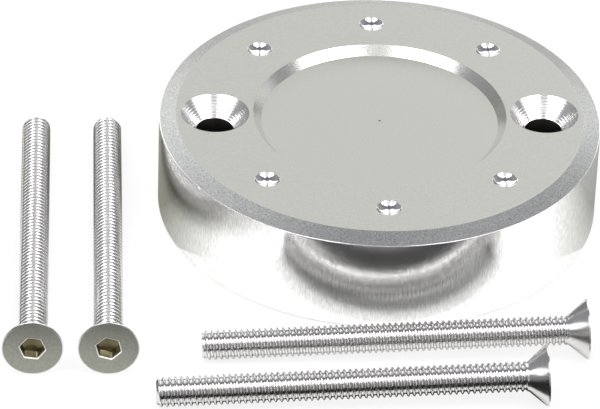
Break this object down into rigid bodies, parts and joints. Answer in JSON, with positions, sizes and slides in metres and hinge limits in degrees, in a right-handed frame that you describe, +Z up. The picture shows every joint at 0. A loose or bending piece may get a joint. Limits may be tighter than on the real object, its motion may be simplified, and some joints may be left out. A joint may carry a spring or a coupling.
{
  "type": "reservoir filler cap",
  "caption": "Round turned aluminium reservoir cap with sloped rim, shallow recess, countersunk fixing holes and dimples, and its countersunk socket screws laid beside it.",
  "frame": {"origin": "middle of the cap's seat face, midway between its fixing holes", "axes": "+Z up along the cap's turning axis, out of its top face; the two fixing holes lie on X; the long screws lie on the -X side and the short screws on the -Y side"},
  "size_m": [0.1319, 0.1301, 0.023],
  "materials": {
    "cap_aluminium": "bead-blasted top face, polished side wall",
    "seal_rubber": "moulded nitrile rubber",
    "screw_steel": "bright rolled stainless steel"
  },
  "bodies": {
    "root": {"cap_body": "cap_aluminium", "seal_ring": "seal_rubber", "long_screw_left": "screw_steel", "long_screw_right": "screw_steel", "short_screw_back": "screw_steel", "short_screw_front": "screw_steel"}
  },
  "joints": []
}
